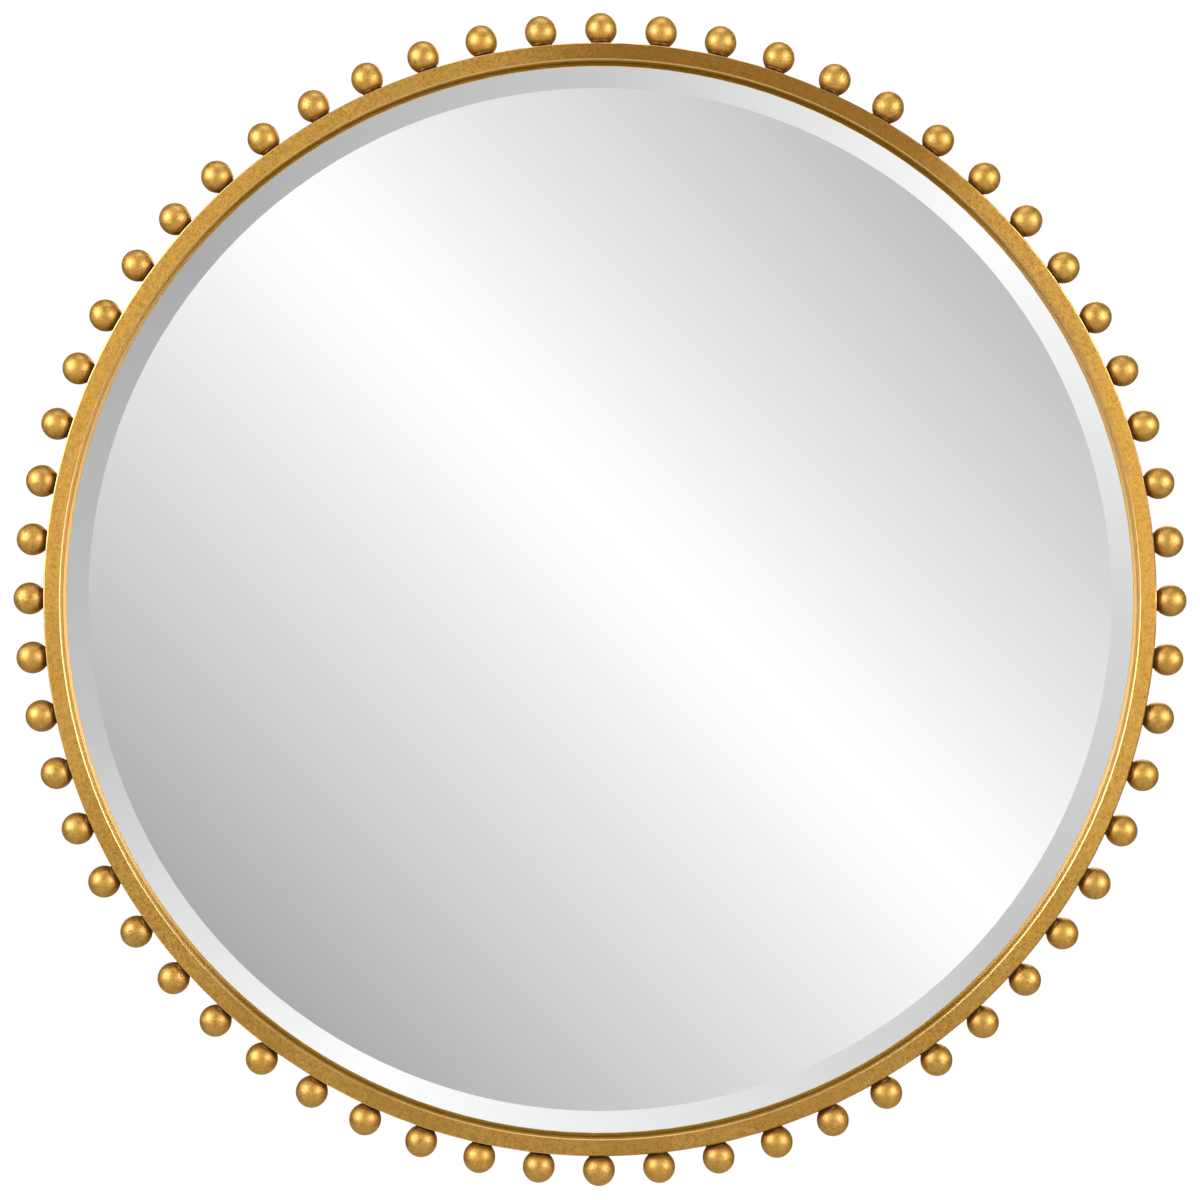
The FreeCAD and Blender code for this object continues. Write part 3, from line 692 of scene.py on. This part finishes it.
class MIRROR_OT_set_stage(bpy.types.Operator):
    """Set the floor, the softboxes, the studio's surround and the camera"""
    bl_idname = "beaded_mirror.set_stage"
    bl_label = "Set the stage"

    def execute(self, context):
        look = context.scene.mirror_stage
        data = bpy.data.meshes.new("floor")
        shape = bmesh.new()
        bmesh.ops.create_circle(shape, cap_ends=True, radius=look.floor_radius, segments=96,
                                matrix=Matrix.Translation((0, 0, -look.floor_drop)))
        shape.to_mesh(data)
        shape.free()
        data.materials.append(matt_floor(look))
        floor = bpy.data.objects.new("floor", data)
        bpy.context.collection.objects.link(floor)
        self.softbox("softbox_left", -54, 18, 3.2, (2.6, 3.0), look.box_left, look.cloth_fade)
        self.softbox("softbox_right", 51, 10, 3.2, (2.3, 2.6), look.box_right, look.cloth_fade)
        self.softbox("softbox_top", 10, 82, 2.6, (2.4, 1.6), look.box_top, look.cloth_fade)
        self.softbox("softbox_rear", 160, 30, 3.6, (2.4, 2.4), look.box_rear, look.cloth_fade)
        self.surround(context.scene)
        lens = bpy.data.cameras.new("camera")
        lens.lens, lens.sensor_width, lens.sensor_fit = look.lens, 36, "HORIZONTAL"
        lens.clip_start, lens.clip_end = 0.05, 50
        camera = bpy.data.objects.new("camera", lens)
        camera.location = (0, BAR_FRONT - look.camera_distance, -0.5 * MM)
        camera.rotation_euler = (math.radians(90), 0, 0)
        bpy.context.collection.objects.link(camera)
        context.scene.camera = camera
        context.scene.view_settings.view_transform = "Standard"
        return {"FINISHED"}

    def softbox(self, name, azimuth, elevation, distance, size, power, fade):
        """A softbox that looks at the mirror's middle. Azimuth 0 is in front, and 90 is to the right.

        Its cloth is brightest in the middle and fades out towards the edges.
        """
        lamp = bpy.data.lights.new(name, "AREA")
        lamp.shape, lamp.size, lamp.size_y, lamp.energy = "RECTANGLE", size[0], size[1], power
        lamp.use_nodes = True
        tree = lamp.node_tree
        cloth = add(tree, "ShaderNodeSeparateXYZ",
                    {0: add(tree, "ShaderNodeNewGeometry").outputs["Parametric"]}).outputs
        fades = [span(tree, maths(tree, "ABSOLUTE", maths(tree, "SUBTRACT", cloth[axis], 0.5)),
                      0.5, 0.5 - fade) for axis in ("X", "Y")]
        # each side's fade takes half of its own width off the light, and the middle makes up for it
        glow = maths(tree, "MULTIPLY", maths(tree, "MULTIPLY", *fades), (1 - fade) ** -2)
        tree.links.new(glow, tree.nodes["Emission"].inputs["Strength"])
        made = bpy.data.objects.new(name, lamp)
        a, e = math.radians(azimuth), math.radians(elevation)
        away = Vector((math.sin(a) * math.cos(e), -math.cos(a) * math.cos(e), math.sin(e)))
        made.location = away * distance
        made.rotation_euler = away.to_track_quat("Z", "Y").to_euler()
        bpy.context.collection.objects.link(made)

    def surround(self, scene):
        """White where it is seen straight on, and a soft fold of light that the plate reflects.

        The plate sees one narrow cone of the studio in front of it. A pale sheet hangs there, lit
        along a slanting line and falling off to each side, and past its edge the light turns with the
        clock, which is what the bevel shows. The rest of the room is a plain grey.
        """
        world = bpy.data.worlds.new("studio")
        scene.world = world
        world.use_nodes = True
        tree = world.node_tree
        tree.nodes.clear()
        parts = add(tree, "ShaderNodeSeparateXYZ",
                    {0: add(tree, "ShaderNodeTexCoord").outputs["Generated"]}).outputs
        ahead = maths(tree, "MAXIMUM", maths(tree, "MULTIPLY", parts["Y"], -1.0), 0.02)
        right = maths(tree, "DIVIDE", parts["X"], ahead)
        up = maths(tree, "DIVIDE", parts["Z"], ahead)
        slant = maths(tree, "MULTIPLY", maths(tree, "ADD", right, up), math.sqrt(0.5))
        cross = maths(tree, "MULTIPLY", maths(tree, "SUBTRACT", right, up), math.sqrt(0.5))
        out = maths(tree, "SQRT", maths(tree, "ADD", maths(tree, "MULTIPLY", right, right),
                                        maths(tree, "MULTIPLY", up, up)))
        # the fold: brightest on its line, then an even fall
        aside = maths(tree, "ABSOLUTE", maths(tree, "SUBTRACT", slant, 0.0237))
        fold = add(tree, "ShaderNodeMapRange", {"Value": aside, "From Min": 0.0, "From Max": 0.226,
                                                "To Min": 0.0, "To Max": 1.0}).outputs["Result"]
        sheet = ramp(tree, fold, ((0.0, "#FEFEFE"), (0.1, "#FAFAFA"), (0.26, "#EDEDED"),
                                  (1.0, "#AAAAAA")))
        # past the sheet's edge, pale flags stand round the clock, brightest at half past one and at seven
        clock = maths(tree, "FRACT", maths(tree, "ADD", 1.0, maths(tree, "DIVIDE", maths(
            tree, "ARCTAN2", right, up), math.tau)))
        flags = ramp(tree, clock, ((0.0, "#C8C8C8"), (0.13, "#FEFEFE"), (0.25, "#D6D6D6"),
                                   (0.36, "#C4C4C4"), (0.57, "#FEFEFE"), (0.71, "#C4C4C4"),
                                   (0.86, "#AAAAAA"), (1.0, "#C8C8C8")))
        inner = tint(tree, span(tree, out, 0.23, 0.31), sheet, flags)
        # low down, the room pales towards the floor
        sides = ramp(tree, maths(tree, "ADD", parts["Z"], 0.5), (
            (0.0, "#C6C4C1"), (0.2, "#A3A19D"), (0.38, "#7E7C79"), (0.55, "#6C6A67"), (1.0, "#6C6A67")))
        room = tint(tree, span(tree, out, 0.36, 0.5), inner, sides)
        behind = span(tree, parts["Y"], -0.35, 0.1)
        room = tint(tree, behind, room, srgb("#757371"))
        seen = add(tree, "ShaderNodeLightPath").outputs["Is Camera Ray"]
        light = add(tree, "ShaderNodeBackground", {"Color": tint(tree, seen, room, (1.0, 1.0, 1.0)),
                                                   "Strength": 1.03})
        add(tree, "ShaderNodeOutputWorld", {"Surface": light.outputs[0]})


class MIRROR_PT_panel(bpy.types.Panel):
    """Pieces of the beaded mirror and their settings"""
    bl_label = "Beaded Mirror"
    bl_idname = "MIRROR_PT_panel"
    bl_space_type = "VIEW_3D"
    bl_region_type = "UI"
    bl_category = "Beaded Mirror"

    def draw(self, context):
        for operator in STEPS:
            self.layout.operator(operator.bl_idname)
        for group in SETTINGS:
            box = self.layout.box()
            for name in SETTINGS[group].__annotations__:
                box.prop(getattr(context.scene, group), name)


SETTINGS = {
    "mirror_gilding": GildingSettings,
    "mirror_glass_look": GlassSettings,
    "mirror_back": BackSettings,
    "mirror_stage": StageSettings,
}
STEPS = (
    MIRROR_OT_set_stage,
    MIRROR_OT_gild_ring,
    MIRROR_OT_gild_balls,
    MIRROR_OT_silver_glass,
    MIRROR_OT_lay_foam,
    MIRROR_OT_back_board,
    MIRROR_OT_mould_bumpers,
    MIRROR_OT_fit_hardware,
)


def register():
    for made in (*SETTINGS.values(), *STEPS, MIRROR_PT_panel):
        bpy.utils.register_class(made)
    for name, made in SETTINGS.items():
        setattr(bpy.types.Scene, name, bpy.props.PointerProperty(type=made))


def unregister():
    for name in SETTINGS:
        delattr(bpy.types.Scene, name)
    for made in reversed((*SETTINGS.values(), *STEPS, MIRROR_PT_panel)):
        bpy.utils.unregister_class(made)


def main():
    register()
    for step in STEPS:
        group, name = step.bl_idname.split(".")
        getattr(getattr(bpy.ops, group), name)()


if __name__ == "__main__":
    main()
